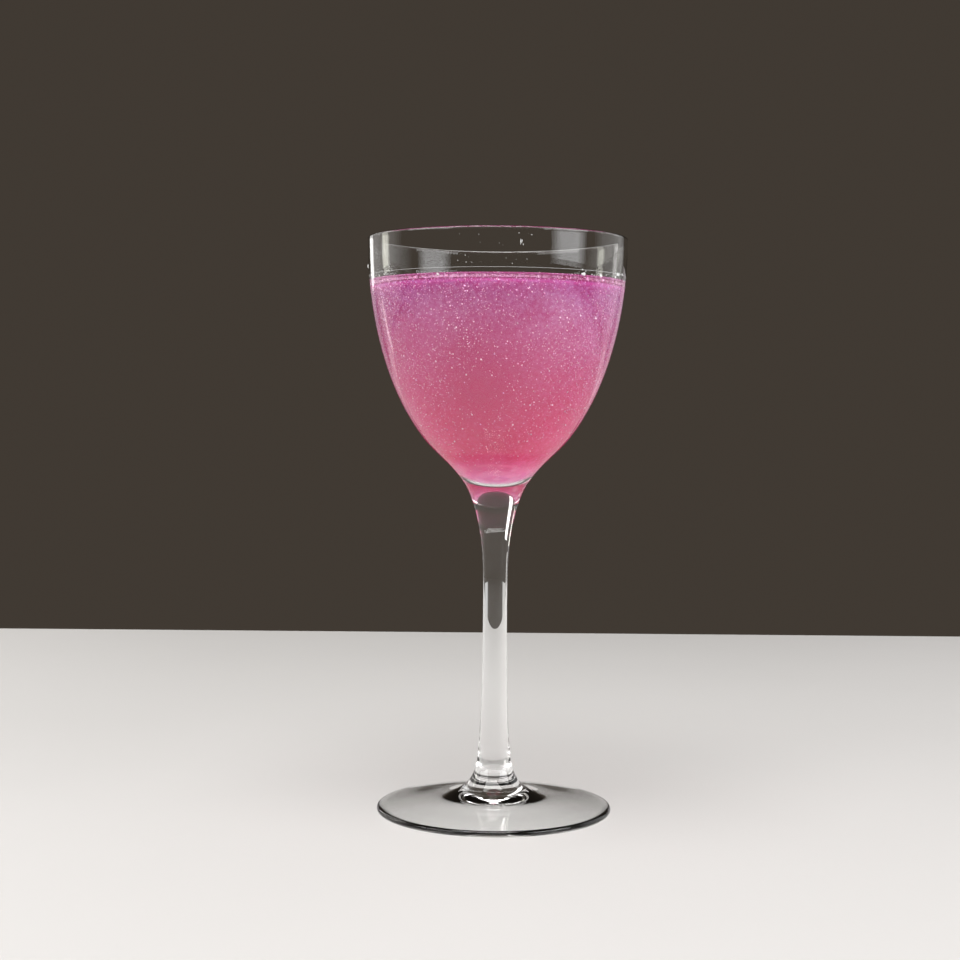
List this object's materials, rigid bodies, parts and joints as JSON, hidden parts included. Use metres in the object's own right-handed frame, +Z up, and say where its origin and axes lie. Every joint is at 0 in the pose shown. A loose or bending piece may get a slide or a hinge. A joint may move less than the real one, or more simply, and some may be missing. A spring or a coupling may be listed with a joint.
{
  "type": "sparkling cocktail in a stemmed glass",
  "caption": "Stemmed cocktail glass with an egg-shaped open bowl and a round flat foot, filled near the rim with a pink shimmering drink full of fine glitter.",
  "frame": {"origin": "on the table, under the centre of the foot", "axes": "+Z up along the stem, +X to the right and +Y away from the front; the object is round about +Z"},
  "size_m": [0.0752, 0.0752, 0.1665],
  "materials": {
    "glass": "clear colourless polished glass",
    "drink": "cloudy pink drink with a pearly lustre and a wet, glossy surface",
    "glitter": "pearly silver-white and pale pink edible glitter"
  },
  "bodies": {
    "root": {"glass": "glass", "drink": "drink"}
  },
  "joints": []
}
